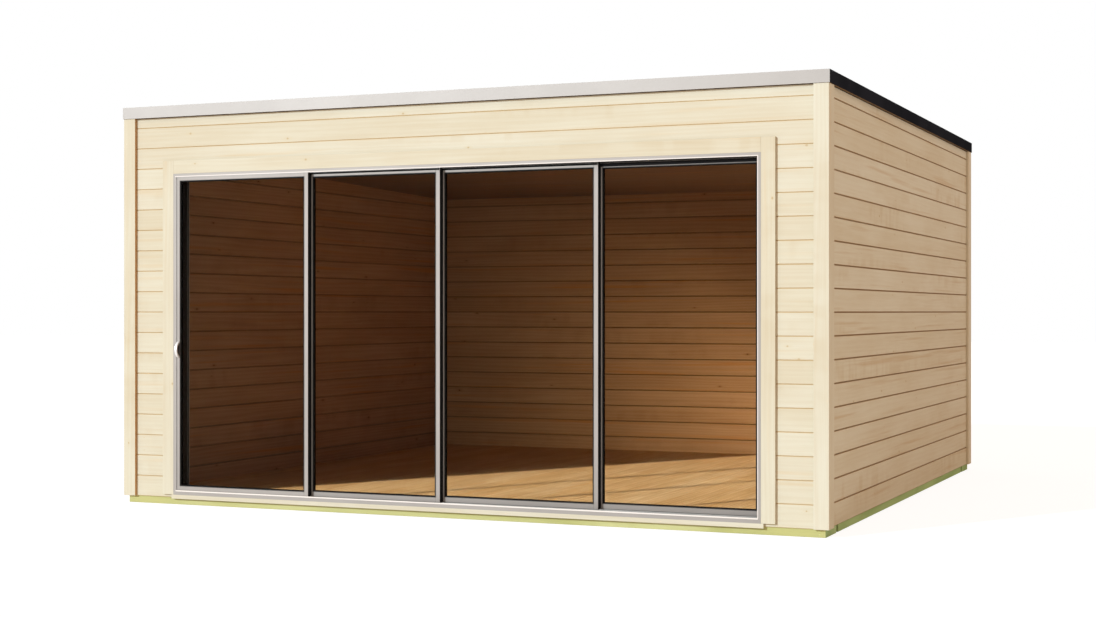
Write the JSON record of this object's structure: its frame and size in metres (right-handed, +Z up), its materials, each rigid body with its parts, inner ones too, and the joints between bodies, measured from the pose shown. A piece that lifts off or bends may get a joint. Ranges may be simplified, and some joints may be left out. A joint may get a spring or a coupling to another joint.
{
  "type": "garden office pod",
  "caption": "Square flat-roofed timber garden room with grooved board walls and a full-width telescoping glass sliding door across its front.",
  "frame": {"origin": "centre of the plan between the wall faces, on the underside of the base", "axes": "+Z up, +X to the right as seen from the front, the glazed front faces -Y"},
  "size_m": [4.704, 4.628, 2.578],
  "materials": {
    "treated_timber": "pressure-treated, pale green, sawn",
    "wall_boards": "planed spruce, unpainted",
    "trim_boards": "planed spruce, unpainted",
    "floor_boards": "planed spruce, unpainted",
    "roof_timber": "sawn spruce",
    "frame_metal": "satin anodised",
    "rail_metal": "drawn stainless",
    "tinted_glass": "clear sealed unit, slightly tinted",
    "membrane": "matt roofing felt",
    "pale_fascia": "pale grey, satin",
    "dark_fascia": "anthracite, satin"
  },
  "bodies": {
    "pod": {"base_front_bearer": "treated_timber", "base_left_bearer": "treated_timber", "base_rear_bearer": "treated_timber", "base_right_bearer": "treated_timber", "casing_head": "trim_boards", "casing_left": "trim_boards", "casing_right": "trim_boards", "ceiling": "roof_timber", "corner_trim_front_left": "trim_boards", "corner_trim_front_right": "trim_boards", "corner_trim_rear_left": "trim_boards", "corner_trim_rear_right": "trim_boards", "door_frame_head": "frame_metal", "door_frame_left_jamb": "frame_metal", "door_frame_right_jamb": "frame_metal", "door_frame_sill": "frame_metal", "fascia_front": "pale_fascia", "fascia_left": "dark_fascia", "fascia_rear": "dark_fascia", "fascia_right": "dark_fascia", "floor_deck": "floor_boards", "floor_joists": "treated_timber", "front_wall_head": "wall_boards", "front_wall_left": "wall_boards", "front_wall_right": "wall_boards", "leaf_4_frame": "frame_metal", "leaf_4_glass": "tinted_glass", "left_wall": "wall_boards", "rear_wall": "wall_boards", "right_wall": "wall_boards", "roof_beams": "roof_timber", "roof_deck": "roof_timber", "roof_kerbs": "roof_timber", "roof_membrane": "membrane", "sill_rails": "rail_metal", "threshold": "trim_boards"},
    "leaf_1": {"leaf_1_frame": "frame_metal", "leaf_1_glass": "tinted_glass", "door_pull": "frame_metal"},
    "leaf_2": {"leaf_2_frame": "frame_metal", "leaf_2_glass": "tinted_glass"},
    "leaf_3": {"leaf_3_frame": "frame_metal", "leaf_3_glass": "tinted_glass"}
  },
  "joints": [
    {"name": "leaf_1_slide", "type": "slide", "parent": "pod", "child": "leaf_1", "axis": [1, 0, 0], "range_m": [0, 2.901]},
    {"name": "leaf_2_slide", "type": "slide", "parent": "pod", "child": "leaf_2", "axis": [1, 0, 0], "range_m": [0, 2.001]},
    {"name": "leaf_3_slide", "type": "slide", "parent": "pod", "child": "leaf_3", "axis": [1, 0, 0], "range_m": [0, 0.986]}
  ]
}
